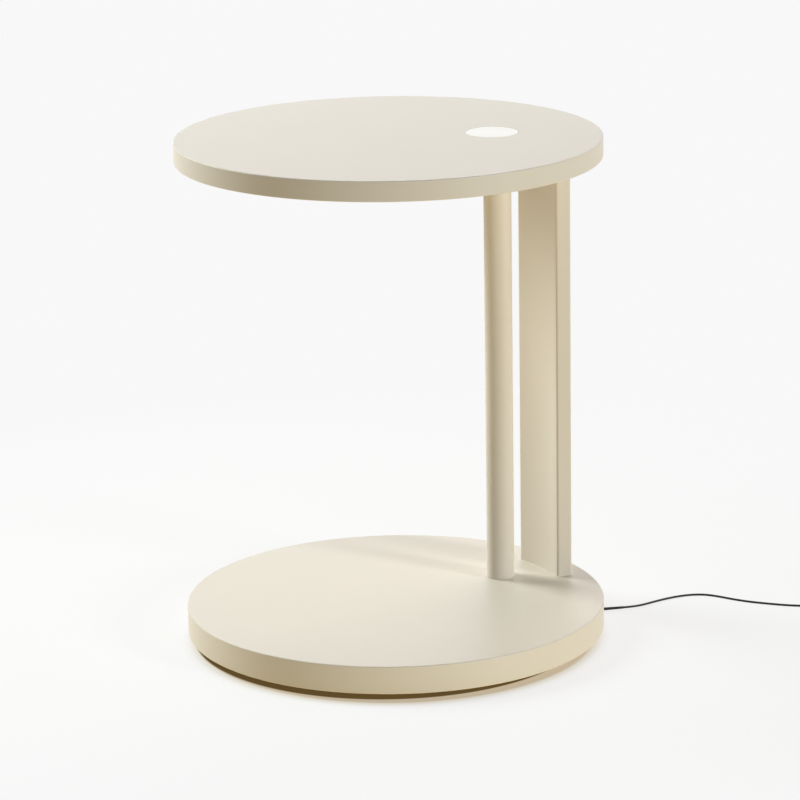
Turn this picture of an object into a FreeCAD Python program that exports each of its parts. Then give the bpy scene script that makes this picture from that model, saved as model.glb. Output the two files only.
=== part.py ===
import FreeCAD, Part
import math
import os
from FreeCAD import Vector

# Side table with a light: two equal round boards, held apart at the rear by a round post
# and a curved upright that follows the boards' edge. A press-to-switch light is let into
# the top, and its lead runs down the upright and out of the base to a plug.
# Frame: millimetres, +Z up, origin on the floor under the boards' common axis, rear at +Y.

# Boards
BOARD_DIAMETER = 420.0
TOP_THICKNESS = 20.0
BASE_THICKNESS = 28.0
CLEAR_HEIGHT = 454.0            # from the base's face to the top's underside
BOARD_EDGE_RADIUS = 1.2
OVERRUN = 1.0                   # how far a cut runs past a face
SEAT_GAP = 0.05                 # round a piece fixed in its hole

# Feet
FOOT_HEIGHT = 5.0
FOOT_DIAMETER = 24.0
FOOT_EDGE_RADIUS = 0.8
FOOT_INSET = 25.0               # from the board's edge to a foot's centre
FOOT_COUNT = 5

# Curved upright, a hollow extrusion concentric with the boards
UPRIGHT_INSET = 17.8            # from the board's edge to the outer face
UPRIGHT_THICKNESS = 16.0
UPRIGHT_HALF_ANGLE = 11.6
UPRIGHT_WALL = 3.0
UPRIGHT_EDGE_RADIUS = 2.2
PORT_ANGLE = 4.0                # screw ports, either side of the middle
PORT_WALL = 1.7
UPRIGHT_SCREW_RADIUS = 2.9
UPRIGHT_SCREW_HEAD_RADIUS = 5.6
UPRIGHT_SCREW_GRIP = 20.0       # length held in the upright

# Post
POST_DIAMETER = 28.0
POST_WALL = 2.0
POST_GAP = 36.2                 # between the post and the upright
PLUG_LENGTH = 26.0
PLUG_BEVEL = 1.0
POST_BOLT_RADIUS = 4.0
POST_BOLT_HEAD_RADIUS = 7.6
POST_BOLT_GRIP = 18.0           # length held in the plug

# Round steel plates let into the two undersides
PLATE_RADIUS = 108.0
PLATE_THICKNESS = 4.0
PLATE_MARGIN = 12.0             # from the board's edge to the plate's
PLATE_GAP = 0.3
PLATE_SCREW_INSET = 12.0        # from the plate's edge to a screw
PLATE_SCREW_STEP = 52.0         # degrees, counted either way from the rear
PLATE_SCREWS_A_SIDE = 3
PLATE_SCREW_RADIUS = 1.9
PLATE_SCREW_HEAD_RADIUS = 3.8
PLATE_SCREW_LENGTH = 14.0
BOLT_CLEARANCE = 0.4            # round bolts that pass through a board

# Light
LIGHT_SIDE_OFFSET = 41.3        # from the post's plane
LIGHT_FRONT_OFFSET = 32.0       # in front of the post's axis
LENS_DIAMETER = 52.0
LENS_WALL = 2.5
LENS_EDGE_RADIUS = 0.6
LENS_GAP = 0.3
LENS_FLANGE = 2.5               # how far the flange stands out under the board
LENS_FLANGE_THICKNESS = 1.8
LENS_TRAVEL = 1.0
SHOULDER = 5.0                  # board left over the flange
HOUSING_WALL = 1.8
HOUSING_FLOOR = 2.0
HOUSING_GAP = 0.4               # round the flange
LED_BOARD_MARGIN = 6.9          # from the housing's wall to the circuit board
LED_BOARD_THICKNESS = 1.6
LED_COUNT = 12
LED_SIZE = 2.8
LED_HEIGHT = 0.8
SWITCH_SIZE = 7.0
SWITCH_HEIGHT = 3.5
SWITCH_EDGE_RADIUS = 0.5
SWITCH_FLOOR = 0.5
PLUNGER_RADIUS = 1.6
PLUNGER_GAP = 0.3
PLUNGER_SHOW = 1.4              # above the switch at rest
PLUNGER_SPARE = 0.2             # left under the plunger when pressed
BOSS_RADIUS = 2.4
SPRING_RADIUS = 7.0
SPRING_WIRE = 0.8
SPRING_TURNS = 4
CONNECTOR_LENGTH = 5.0
CONNECTOR_WIDTH = 6.0
CONNECTOR_HEIGHT = 4.2
CONNECTOR_EDGE_RADIUS = 0.4
CONNECTOR_INSET = 0.5           # from the circuit board's edge

# Lead inside the table
LEAD_DIAMETER = 2.2
LEAD_HOLE_RADIUS = 3.5
LEAD_CHANNEL_WIDTH = 10.0
LEAD_CHANNEL_HEIGHT = 5.0       # over a plate
LEAD_BEND_RADIUS = 8.0
LEAD_FOOT_BEND_RADIUS = 4.0
LEAD_TURN_INSET = 32.0          # from the board's edge to the turn in the base
GROMMET_WALL = 0.9
GROMMET_FLANGE = 1.2
GROMMET_FLANGE_THICKNESS = 1.0

# Outlet at the rear of the base
OUTLET_ANGLE = 19.6             # degrees from the rear, towards +X
OUTLET_WIDTH = 10.0
OUTLET_DEPTH = 9.0
GLAND_GAP = 0.2
GLAND_PLATE_GAP = 2.0           # from the plate's edge, on the outlet's line
GLAND_INSET = 6.0               # from the board's edge to the block's face
GLAND_NECK_LENGTH = 10.0        # under the block
GLAND_NECK_WIDTH = 4.0
RELIEF_RADIUS = 2.3
RELIEF_TIP_RADIUS = 1.4
RELIEF_REACH = 28.0             # past the board's edge
CORD_OUTLET_HEIGHT = 2.6

# Cord on the floor: its route, chosen by hand, from the relief's tip to the coil
CORD_DIAMETER = 2.2
CORD_FIRST_RUN = 7.8
CORD_ROUTE = [
    Vector(81.5, 246.0, 1.5),
    Vector(78.3, 266.0, 1.2),
    Vector(77.5, 286.0, 1.2),
    Vector(80.0, 304.0, 1.2),
    Vector(87.5, 318.5, 1.2),
    Vector(101.0, 327.5, 1.2),
    Vector(117.5, 334.5, 1.2),
    Vector(134.0, 344.0, 1.2),
    Vector(150.5, 357.0, 1.2),
    Vector(168.0, 372.5, 1.2),
    Vector(186.0, 396.5, 1.2),
]
CORD_LAST_RUN = 18.0
CORD_CORNER_SHARE = 0.45        # of the shorter run, taken up by each arc

# Coil of the put-away length, tied, with the plug beside it
COIL_CENTRE_X = 197.1
COIL_CENTRE_Y = 448.4
COIL_HEADING = 59.0             # degrees from +X, the way the cord comes in
COIL_HEIGHT = 2.1               # of the lowest turn's axis
COIL_OUTER_RADIUS = 19.7
COIL_PITCH = 3.25
COIL_LAYER_PITCH = 3.1
COIL_LAYERS = 4
COIL_HALF_TURNS = 8             # in a layer
TIE_ANGLE = 45.0                # degrees round the coil from its heading
TIE_WIDTH = 4.5
TIE_THICKNESS = 0.8
TIE_GAP = 0.15
TIE_CORNER_RADIUS = 1.5
PLUG_RELIEF_LENGTH = 21.0
PLUG_RELIEF_RADIUS = 2.8
PLUG_BODY_LENGTH = 28.0
PLUG_BODY_WIDTH = 28.0
PLUG_BODY_RADIUS = 4.0
PLUG_FACE_RADIUS = 1.5
PIN_RADIUS = 2.0
PIN_LENGTH = 19.0
PIN_SPACING = 19.0
PIN_SOCKET = 6.0                # length held in the plug's body
SAMPLES_PER_ARC = 24

# Places worked out from the sizes above
board_radius = BOARD_DIAMETER / 2
base_low = FOOT_HEIGHT
base_face = base_low + BASE_THICKNESS
top_low = base_face + CLEAR_HEIGHT
top_face = top_low + TOP_THICKNESS
upright_outer = board_radius - UPRIGHT_INSET
upright_inner = upright_outer - UPRIGHT_THICKNESS
upright_middle = (upright_inner + upright_outer) / 2
post_radius = POST_DIAMETER / 2
post_y = upright_inner - POST_GAP - post_radius
plate_y = board_radius - PLATE_MARGIN - PLATE_RADIUS
plate_centre = Vector(0, plate_y, 0)
light_centre = Vector(LIGHT_SIDE_OFFSET, post_y - LIGHT_FRONT_OFFSET, 0)
base_plate_face = base_low + PLATE_THICKNESS
top_plate_face = top_low + PLATE_THICKNESS
up = Vector(0, 0, 1)


def polar(radius, angle, height=0):
    """Place at an angle in degrees from the rear, towards +X."""
    turn = math.radians(angle)
    return Vector(radius * math.sin(turn), radius * math.cos(turn), height)


def disc(radius, low, high, centre=Vector()):
    return Part.makeCylinder(radius, high - low, Vector(centre.x, centre.y, low))


def eased_disc(radius, low, high, ease, centre=Vector()):
    blank = disc(radius, low, high, centre)
    rims = [edge for edge in blank.Edges if isinstance(edge.Curve, Part.Circle)]
    return blank.makeFillet(ease, rims)


def slot(start, end, width, low, high):
    """Round-ended cut between two places in plan."""
    run = Vector(end.x - start.x, end.y - start.y, 0)
    bar = Part.makeBox(run.Length, width, high - low, Vector(0, -width / 2, low))
    bar.rotate(Vector(), up, math.degrees(math.atan2(run.y, run.x)))
    bar.translate(Vector(start.x, start.y, 0))
    return bar.fuse([disc(width / 2, low, high, start), disc(width / 2, low, high, end)])


def revolved(points, centre=Vector()):
    """Solid of revolution of (radius, height) points about the vertical through centre."""
    corners = [Vector(radius, 0, height) for radius, height in points]
    face = Part.Face(Part.makePolygon(corners + corners[:1]))
    solid = face.revolve(Vector(), up, 360)
    solid.translate(Vector(centre.x, centre.y, 0))
    return solid


def countersunk(seat, way, head_radius, shank_radius, length):
    """Countersunk screw with its head's face at seat, pointing up (1) or down (-1)."""
    points = [
        (0, 0),
        (head_radius, 0),
        (shank_radius, head_radius - shank_radius),
        (shank_radius, length),
        (0, length),
    ]
    screw = revolved([(radius, way * height) for radius, height in points])
    screw.translate(seat)
    return screw


def line_and_arc_wire(points, radii):
    """Straight runs between the points, joined by tangent arcs of the given radii."""
    edges = []
    last = points[0]
    for before, corner, after, radius in zip(points, points[1:], points[2:], radii):
        back = (before - corner).normalize()
        ahead = (after - corner).normalize()
        half_turn = (math.pi - back.getAngle(ahead)) / 2
        reach = radius * math.tan(half_turn)
        middle_reach = radius / math.cos(half_turn) - radius
        inward = (back + ahead).normalize()
        start = corner + back * reach
        edges.append(Part.LineSegment(last, start).toShape())
        last = corner + ahead * reach
        edges.append(Part.Arc(start, corner + inward * middle_reach, last).toShape())
    edges.append(Part.LineSegment(last, points[-1]).toShape())
    return Part.Wire(edges)


def corner_radii(points, share):
    """The largest arc at each inner point that takes up that share of its shorter run."""
    radii = []
    for before, corner, after in zip(points, points[1:], points[2:]):
        turn = (corner - before).getAngle(after - corner)
        shorter = min((corner - before).Length, (after - corner).Length)
        radii.append(share * shorter / math.tan(turn / 2))
    return radii


def biarc(start, start_way, end, end_way):
    """Two arcs that leave start and reach end along the given unit directions."""
    chord = end - start
    ways = start_way + end_way
    spread = 2 * (1 - start_way.dot(end_way))
    along = chord.dot(ways)
    reach = (math.sqrt(along ** 2 + spread * chord.dot(chord)) - along) / spread
    first = start + start_way * reach
    second = end - end_way * reach
    joint = (first + second) / 2
    edges = []
    for begin, corner, finish in ((start, first, joint), (joint, second, end)):
        inward = (begin + finish) / 2 - corner
        half_angle = math.acos(min(1, inward.Length / reach))
        radius = reach * math.tan(half_angle)
        middle = corner + inward.normalize() * (reach / math.cos(half_angle) - radius)
        edges.append(Part.Arc(begin, middle, finish).toShape())
    return edges


def tube(wire, radius):
    start = wire.Edges[0].valueAt(wire.Edges[0].FirstParameter)
    way = wire.Edges[0].tangentAt(wire.Edges[0].FirstParameter)
    section = Part.Wire(Part.makeCircle(radius, start, way))
    solid = wire.makePipeShell([section], True, False)
    expected = math.pi * radius ** 2 * wire.Length
    fill = solid.Volume / expected
    print("  tube %.1f mm long, volume %.4f of section times length" % (wire.Length, fill))
    return solid


def least_self_gap(wire, diameter):
    """Least clear gap between stretches of a wound wire that lie over two turns' width apart."""
    places = []
    travelled = 0
    for edge in wire.Edges:
        span = edge.LastParameter - edge.FirstParameter
        for step in range(SAMPLES_PER_ARC):
            part = step / SAMPLES_PER_ARC
            place = edge.valueAt(edge.FirstParameter + span * part)
            places.append((travelled + edge.Length * part, place))
        travelled += edge.Length
    least = travelled
    for index, (here, place) in enumerate(places):
        for there, other in places[index + 1:]:
            if there - here > 4 * diameter:
                least = min(least, place.distanceToPoint(other))
    return least - diameter


def export(node, solids):
    shape = solids[0] if len(solids) == 1 else Part.makeCompound(solids)
    count = len(shape.Solids)
    if count != len(solids) or not shape.isValid():
        raise RuntimeError("%s: %d solids, valid %s" % (node, count, shape.isValid()))
    shape.exportStep("parts/%s.step" % node)
    print("%-22s %2d solid(s) %12.1f mm3" % (node, count, shape.Volume))


def plate_screw_places():
    """Screw places round a plate, in steps counted either way from the rear."""
    reach = PLATE_RADIUS - PLATE_SCREW_INSET
    places = []
    for step in range(1, PLATE_SCREWS_A_SIDE + 1):
        for side in (1, -1):
            places.append(plate_centre + polar(reach, side * step * PLATE_SCREW_STEP))
    return places


def port_places():
    return [polar(upright_middle, side * PORT_ANGLE) for side in (1, -1)]


def at_height(place, height):
    return Vector(place.x, place.y, height)


def plate_screws(low, gap=0):
    """Screws up into a board from its underside, or their holes where a gap is given."""
    radius = PLATE_SCREW_RADIUS + gap
    length = PLATE_SCREW_LENGTH + gap
    return [
        countersunk(at_height(place, low), 1, PLATE_SCREW_HEAD_RADIUS, radius, length)
        for place in plate_screw_places()
    ]


# Places of the lead, worked out once for the pieces that it passes
port_half_angle = math.degrees((UPRIGHT_SCREW_RADIUS + SEAT_GAP + PORT_WALL) / upright_middle)
wall_angle = math.degrees(UPRIGHT_WALL / upright_middle)
side_chamber_start = PORT_ANGLE + port_half_angle
side_chamber_end = UPRIGHT_HALF_ANGLE - wall_angle
lead_riser = polar(upright_middle, (side_chamber_start + side_chamber_end) / 2)
lead_radius = LEAD_DIAMETER / 2
base_lead_height = base_plate_face + LEAD_CHANNEL_HEIGHT / 2
top_lead_height = top_plate_face + LEAD_CHANNEL_HEIGHT
lead_turn = polar(board_radius - LEAD_TURN_INSET, OUTLET_ANGLE)
lead_way = at_height(lead_riser - light_centre, 0).normalize()

# Heights and radii of the light's stack
lens_radius = LENS_DIAMETER / 2
flange_radius = lens_radius + LENS_FLANGE
housing_inner = flange_radius + HOUSING_GAP
housing_radius = housing_inner + HOUSING_WALL
shoulder_low = top_face - SHOULDER
flange_low = shoulder_low - LENS_FLANGE_THICKNESS
lens_ceiling = top_face - LENS_WALL
housing_floor = top_plate_face + HOUSING_FLOOR
led_board_face = housing_floor + LED_BOARD_THICKNESS
switch_face = led_board_face + SWITCH_HEIGHT
plunger_top = switch_face + PLUNGER_SHOW
plunger_low = led_board_face + SWITCH_FLOOR + PLUNGER_SPARE + LENS_TRAVEL
led_board_radius = housing_inner - LED_BOARD_MARGIN
connector_end = led_board_radius - CONNECTOR_INSET
spring_outer = SPRING_RADIUS + SPRING_WIRE / 2
led_ring_radius = (spring_outer + connector_end - CONNECTOR_LENGTH) / 2

# Outlet line, from the plate's edge to the board's
outlet_way = polar(1, OUTLET_ANGLE)
outlet_lever = plate_y * math.cos(math.radians(OUTLET_ANGLE))
plate_edge_reach = outlet_lever + math.sqrt(
    outlet_lever ** 2 + (PLATE_RADIUS + PLATE_GAP) ** 2 - plate_y ** 2
)
gland_inner = plate_edge_reach + GLAND_PLATE_GAP
gland_outer = board_radius - GLAND_INSET
relief_tip = board_radius + RELIEF_REACH


def base_board():
    """Round base, with its plate's recess, the lead's channel and the cord's outlet."""
    board = eased_disc(board_radius, base_low, base_face, BOARD_EDGE_RADIUS)
    channel_top = base_plate_face + LEAD_CHANNEL_HEIGHT
    outlet_top = base_low + OUTLET_DEPTH
    outlet_start = polar(gland_inner, OUTLET_ANGLE)
    outlet_end = polar(board_radius + OUTLET_WIDTH, OUTLET_ANGLE)
    cuts = [
        disc(PLATE_RADIUS + PLATE_GAP, base_low - OVERRUN, base_plate_face, plate_centre),
        slot(outlet_start, outlet_end, OUTLET_WIDTH, base_low - OVERRUN, outlet_top),
        slot(lead_turn, outlet_start, LEAD_CHANNEL_WIDTH, base_plate_face - OVERRUN, channel_top),
        slot(lead_turn, lead_riser, LEAD_CHANNEL_WIDTH, base_plate_face - OVERRUN, channel_top),
        disc(LEAD_HOLE_RADIUS, base_low, base_face + OVERRUN, lead_riser),
        disc(POST_BOLT_RADIUS + BOLT_CLEARANCE, base_low, base_face + OVERRUN, Vector(0, post_y, 0)),
    ]
    for place in port_places():
        cuts.append(disc(UPRIGHT_SCREW_RADIUS + BOLT_CLEARANCE, base_low, base_face + OVERRUN, place))
    return board.cut(cuts + plate_screws(base_low, SEAT_GAP))


def anchor_plate(low, way):
    """Round steel plate. The post and upright are bolted to it from below (1) or above (-1)."""
    high = low + PLATE_THICKNESS
    seat = low if way > 0 else high
    plate = disc(PLATE_RADIUS, low, high, plate_centre)
    cuts = plate_screws(low, SEAT_GAP) + [
        countersunk(
            Vector(0, post_y, seat), way, POST_BOLT_HEAD_RADIUS,
            POST_BOLT_RADIUS + SEAT_GAP, PLATE_THICKNESS + OVERRUN,
        )
    ]
    for place in port_places():
        cuts.append(countersunk(
            at_height(place, seat), way, UPRIGHT_SCREW_HEAD_RADIUS,
            UPRIGHT_SCREW_RADIUS + SEAT_GAP, PLATE_THICKNESS + OVERRUN,
        ))
    return plate.cut(cuts)


def top_anchor_plate():
    hole = disc(LEAD_HOLE_RADIUS, top_low - OVERRUN, top_plate_face + OVERRUN, lead_riser)
    return anchor_plate(top_low, -1).cut(hole)


def top_board():
    """Round top, with the light's stepped bore, the lead's channel and its plate's recess."""
    board = eased_disc(board_radius, top_low, top_face, BOARD_EDGE_RADIUS)
    channel_top = top_plate_face + 2 * LEAD_CHANNEL_HEIGHT
    cuts = [
        disc(PLATE_RADIUS + PLATE_GAP, top_low - OVERRUN, top_plate_face, plate_centre),
        disc(housing_radius + PLATE_GAP, top_low, shoulder_low, light_centre),
        disc(lens_radius + LENS_GAP, shoulder_low - OVERRUN, top_face + OVERRUN, light_centre),
        slot(lead_riser, light_centre, LEAD_CHANNEL_WIDTH, top_plate_face - OVERRUN, channel_top),
    ]
    return board.cut(cuts + plate_screws(top_low, SEAT_GAP))


def foot_pads():
    pads = []
    for index in range(FOOT_COUNT):
        angle = (index + 0.5) * 360 / FOOT_COUNT
        place = polar(board_radius - FOOT_INSET, angle)
        pad = disc(FOOT_DIAMETER / 2, 0, FOOT_HEIGHT, place)
        rim = [edge for edge in pad.Edges if edge.Closed and abs(edge.CenterOfMass.z) < FOOT_EDGE_RADIUS]
        pads.append(pad.makeFillet(FOOT_EDGE_RADIUS, rim))
    return pads


def post_tube():
    place = Vector(0, post_y, 0)
    tube_blank = disc(post_radius, base_face, top_low, place)
    return tube_blank.cut(disc(post_radius - POST_WALL, base_face - OVERRUN, top_low + OVERRUN, place))


def post_plug(end, way):
    """Threaded plug in an end of the post, reaching into it up (1) or down (-1)."""
    outer = post_radius - POST_WALL - SEAT_GAP
    bore = POST_BOLT_RADIUS + SEAT_GAP
    points = [
        (bore, 0),
        (outer, 0),
        (outer, PLUG_LENGTH - PLUG_BEVEL),
        (outer - PLUG_BEVEL, PLUG_LENGTH),
        (bore, PLUG_LENGTH),
    ]
    return revolved([(radius, end + way * height) for radius, height in points], Vector(0, post_y, 0))


def sector(inner, outer, start, finish, low, high):
    """Upright ring sector between two angles counted from the rear."""
    middle = (start + finish) / 2
    edges = [
        Part.Arc(polar(outer, start, low), polar(outer, middle, low), polar(outer, finish, low)),
        Part.LineSegment(polar(outer, finish, low), polar(inner, finish, low)),
        Part.Arc(polar(inner, finish, low), polar(inner, middle, low), polar(inner, start, low)),
        Part.LineSegment(polar(inner, start, low), polar(outer, start, low)),
    ]
    face = Part.Face(Part.Wire([edge.toShape() for edge in edges]))
    return face.extrude(Vector(0, 0, high - low))


def curved_upright():
    """Hollow curved extrusion: three chambers, with a screw port in each web between them."""
    side = UPRIGHT_HALF_ANGLE
    blank = sector(upright_inner, upright_outer, -side, side, base_face, top_low)
    corners = [edge for edge in blank.Edges if abs(edge.tangentAt(edge.FirstParameter).z) > 0]
    blank = blank.makeFillet(UPRIGHT_EDGE_RADIUS, corners)
    inner = upright_inner + UPRIGHT_WALL
    outer = upright_outer - UPRIGHT_WALL
    low = base_face - OVERRUN
    high = top_low + OVERRUN
    middle_end = PORT_ANGLE - port_half_angle
    chambers = [
        sector(inner, outer, -middle_end, middle_end, low, high),
        sector(inner, outer, side_chamber_start, side_chamber_end, low, high),
        sector(inner, outer, -side_chamber_end, -side_chamber_start, low, high),
    ]
    ports = [disc(UPRIGHT_SCREW_RADIUS + SEAT_GAP, low, high, place) for place in port_places()]
    return blank.cut(chambers + ports)


def upright_screws(seat, way, board_between):
    length = PLATE_THICKNESS + board_between + UPRIGHT_SCREW_GRIP
    return [
        countersunk(at_height(place, seat), way, UPRIGHT_SCREW_HEAD_RADIUS, UPRIGHT_SCREW_RADIUS, length)
        for place in port_places()
    ]


def post_bolt(seat, way, board_between):
    length = PLATE_THICKNESS + board_between + POST_BOLT_GRIP
    return countersunk(Vector(0, post_y, seat), way, POST_BOLT_HEAD_RADIUS, POST_BOLT_RADIUS, length)


def light_housing():
    """Metal cup between the board's shoulder and the plate, with the lead's hole in its side."""
    cup = revolved([
        (0, top_plate_face),
        (housing_radius, top_plate_face),
        (housing_radius, shoulder_low),
        (housing_inner, shoulder_low),
        (housing_inner, housing_floor),
        (0, housing_floor),
    ], light_centre)
    start = at_height(light_centre, top_lead_height) + lead_way * connector_end
    hole = lead_radius + GROMMET_WALL + SEAT_GAP
    return cup.cut(Part.makeCylinder(hole, housing_radius, start, lead_way))


def led_board():
    return disc(led_board_radius, housing_floor, led_board_face, light_centre)


def led_chips():
    chips = []
    for index in range(LED_COUNT):
        corner = Vector(led_ring_radius - LED_SIZE / 2, -LED_SIZE / 2, led_board_face)
        chip = Part.makeBox(LED_SIZE, LED_SIZE, LED_HEIGHT, corner)
        chip.rotate(Vector(), up, index * 360 / LED_COUNT)
        chip.translate(light_centre)
        chips.append(chip)
    return chips


def switch_body():
    corner = at_height(light_centre, led_board_face) - Vector(SWITCH_SIZE / 2, SWITCH_SIZE / 2, 0)
    case = Part.makeBox(SWITCH_SIZE, SWITCH_SIZE, SWITCH_HEIGHT, corner)
    rims = [edge for edge in case.Edges if abs(edge.tangentAt(edge.FirstParameter).z) > SWITCH_FLOOR]
    case = case.makeFillet(SWITCH_EDGE_RADIUS, rims)
    bore = PLUNGER_RADIUS + PLUNGER_GAP
    return case.cut(disc(bore, led_board_face + SWITCH_FLOOR, switch_face + OVERRUN, light_centre))


def switch_plunger():
    return disc(PLUNGER_RADIUS, plunger_low, plunger_top, light_centre)


def light_lens():
    """Opal press cap: a flanged cup with a boss that meets the switch's plunger."""
    ease = LENS_EDGE_RADIUS
    inner = lens_radius - LENS_WALL
    cap = revolved([
        (0, top_face),
        (lens_radius, top_face),
        (lens_radius, shoulder_low),
        (flange_radius, shoulder_low),
        (flange_radius, flange_low),
        (inner, flange_low),
        (inner, lens_ceiling),
        (BOSS_RADIUS, lens_ceiling),
        (BOSS_RADIUS, plunger_top),
        (0, plunger_top),
    ], light_centre)
    rim = [
        edge for edge in cap.Edges
        if isinstance(edge.Curve, Part.Circle) and abs(edge.CenterOfMass.z - top_face) < ease / 2
    ]
    return cap.makeFillet(ease, rim)


def helix_wire(radius, low, high, turns, centre):
    """Helix as one biarc for each half turn."""
    steps = 2 * turns
    rise = (high - low) / steps
    slope = rise / (math.pi * radius)
    edges = []
    for step in range(steps):
        ends = []
        for index in (step, step + 1):
            turn = index * math.pi
            place = Vector(radius * math.cos(turn), radius * math.sin(turn), low + rise * index)
            way = Vector(-math.sin(turn), math.cos(turn), slope).normalize()
            ends += [place + at_height(centre, 0), way]
        edges += biarc(*ends)
    return Part.Wire(edges)


def return_spring():
    """Coil spring round the switch, between the circuit board and the lens."""
    inset = SPRING_WIRE / 2 + SEAT_GAP
    low = led_board_face + inset
    high = lens_ceiling - inset
    wire = helix_wire(SPRING_RADIUS, low, high, SPRING_TURNS, light_centre)
    print("  spring's least gap to itself %.2f mm" % least_self_gap(wire, SPRING_WIRE))
    return tube(wire, SPRING_WIRE / 2)


def lead_connector():
    corner = Vector(connector_end - CONNECTOR_LENGTH, -CONNECTOR_WIDTH / 2, led_board_face)
    block = Part.makeBox(CONNECTOR_LENGTH, CONNECTOR_WIDTH, CONNECTOR_HEIGHT, corner)
    rims = [edge for edge in block.Edges if abs(edge.tangentAt(edge.FirstParameter).z) < 1 and
            edge.CenterOfMass.z > led_board_face + CONNECTOR_HEIGHT / 2]
    block = block.makeFillet(CONNECTOR_EDGE_RADIUS, rims)
    block.rotate(Vector(), up, math.degrees(math.atan2(lead_way.y, lead_way.x)))
    block.translate(light_centre)
    return block


def lead_grommet():
    """Rubber ring in the housing's side, with a flange outside."""
    hole = lead_radius + SEAT_GAP
    sleeve = lead_radius + GROMMET_WALL
    profile = [
        (hole, housing_inner),
        (sleeve, housing_inner),
        (sleeve, housing_radius),
        (sleeve + GROMMET_FLANGE, housing_radius),
        (sleeve + GROMMET_FLANGE, housing_radius + GROMMET_FLANGE_THICKNESS),
        (hole, housing_radius + GROMMET_FLANGE_THICKNESS),
    ]
    ring = revolved(profile)
    seat = at_height(light_centre, top_lead_height)
    ring.Placement = FreeCAD.Placement(seat, FreeCAD.Rotation(up, lead_way))
    return ring


def inner_lead():
    """Lead from the gland, through the base and up the upright, to the light's connector."""
    points = [
        polar(gland_inner, OUTLET_ANGLE, base_lead_height),
        at_height(lead_turn, base_lead_height),
        at_height(lead_riser, base_lead_height),
        at_height(lead_riser, top_lead_height),
        at_height(light_centre, top_lead_height) + lead_way * connector_end,
    ]
    radii = [LEAD_BEND_RADIUS, LEAD_FOOT_BEND_RADIUS, LEAD_BEND_RADIUS]
    return tube(line_and_arc_wire(points, radii), lead_radius)


def cord_gland():
    """Moulded gland in the outlet, with a tapered relief that carries the cord past the edge."""
    width = OUTLET_WIDTH - 2 * GLAND_GAP
    block_top = base_low + OUTLET_DEPTH - GLAND_GAP
    corner = Vector(-width / 2, gland_inner, base_low)
    block = Part.makeBox(width, gland_outer - gland_inner, block_top - base_low, corner)
    neck_start = gland_outer - GLAND_NECK_LENGTH
    neck = Part.makeBox(
        GLAND_NECK_WIDTH, GLAND_NECK_LENGTH, base_low + GLAND_GAP - CORD_OUTLET_HEIGHT,
        Vector(-GLAND_NECK_WIDTH / 2, neck_start, CORD_OUTLET_HEIGHT),
    )
    axis = Vector(0, 1, 0)
    start = Vector(0, neck_start, CORD_OUTLET_HEIGHT)
    collar = Part.makeCylinder(RELIEF_RADIUS, GLAND_NECK_LENGTH, start, axis)
    start = Vector(0, gland_outer, CORD_OUTLET_HEIGHT)
    relief = Part.makeCone(RELIEF_RADIUS, RELIEF_TIP_RADIUS, relief_tip - gland_outer, start, axis)
    gland = block.fuse([neck, collar, relief]).removeSplitter()
    gland.rotate(Vector(), up, -OUTLET_ANGLE)
    return gland


def coil_place(radius, angle, height):
    """Place on the coil, at an angle in degrees from its heading."""
    turn = math.radians(COIL_HEADING + angle)
    centre = Vector(COIL_CENTRE_X, COIL_CENTRE_Y, height)
    return centre + Vector(radius * math.cos(turn), radius * math.sin(turn), 0)


def coil_way(angle):
    turn = math.radians(COIL_HEADING + angle)
    return Vector(-math.sin(turn), math.cos(turn), 0)


def coil_steps():
    """Radius and height at each half turn: layers spiral in and out, and climb where they turn."""
    radius = COIL_OUTER_RADIUS
    height = COIL_HEIGHT
    steps = [(radius, height)]
    for layer in range(COIL_LAYERS):
        way = -1 if layer % 2 == 0 else 1
        for half_turn in range(COIL_HALF_TURNS):
            radius += way * COIL_PITCH / 2
            steps.append((radius, height))
        if layer < COIL_LAYERS - 1:
            height += COIL_LAYER_PITCH
            steps.append((radius, height))
    steps.append((radius + COIL_PITCH / 2, height))
    return steps


coil_start_angle = -90
coil_list = coil_steps()
coil_end_radius, coil_end_height = coil_list[-1]
coil_end_angle = coil_start_angle + 180 * (len(coil_list) - 1) + 90
coil_start = coil_place(COIL_OUTER_RADIUS, coil_start_angle, COIL_HEIGHT)
coil_entry = coil_start - coil_way(coil_start_angle) * CORD_DIAMETER
coil_exit_way = coil_way(coil_end_angle)
coil_end = coil_place(coil_end_radius + COIL_PITCH / 4, coil_end_angle, coil_end_height)
coil_exit = coil_end + coil_exit_way * CORD_DIAMETER


def cord_lead():
    """Free stretch of cord on the floor, from the relief's tip to the coil."""
    start = polar(relief_tip, OUTLET_ANGLE, CORD_OUTLET_HEIGHT)
    points = [start, start + outlet_way * CORD_FIRST_RUN] + CORD_ROUTE
    points += [coil_entry - coil_way(coil_start_angle) * CORD_LAST_RUN, coil_entry]
    radii = corner_radii(points, CORD_CORNER_SHARE)
    print("  cord arcs' radii", [round(radius, 1) for radius in radii])
    return tube(line_and_arc_wire(points, radii), CORD_DIAMETER / 2)


def cord_coil():
    """Put-away length of cord, wound in layers as one tube."""
    edges = [Part.LineSegment(coil_entry, coil_start).toShape()]
    angle = coil_start_angle
    for (radius, height), (next_radius, next_height) in zip(coil_list, coil_list[1:]):
        edges += biarc(
            coil_place(radius, angle, height), coil_way(angle),
            coil_place(next_radius, angle + 180, next_height), coil_way(angle + 180),
        )
        angle += 180
    place = coil_place(coil_end_radius, angle, coil_end_height)
    edges += biarc(place, coil_way(angle), coil_end, coil_exit_way)
    edges.append(Part.LineSegment(coil_end, coil_exit).toShape())
    wire = Part.Wire(edges)
    print("  coil's least gap to itself %.2f mm" % least_self_gap(wire, CORD_DIAMETER))
    return tube(wire, CORD_DIAMETER / 2)


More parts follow.
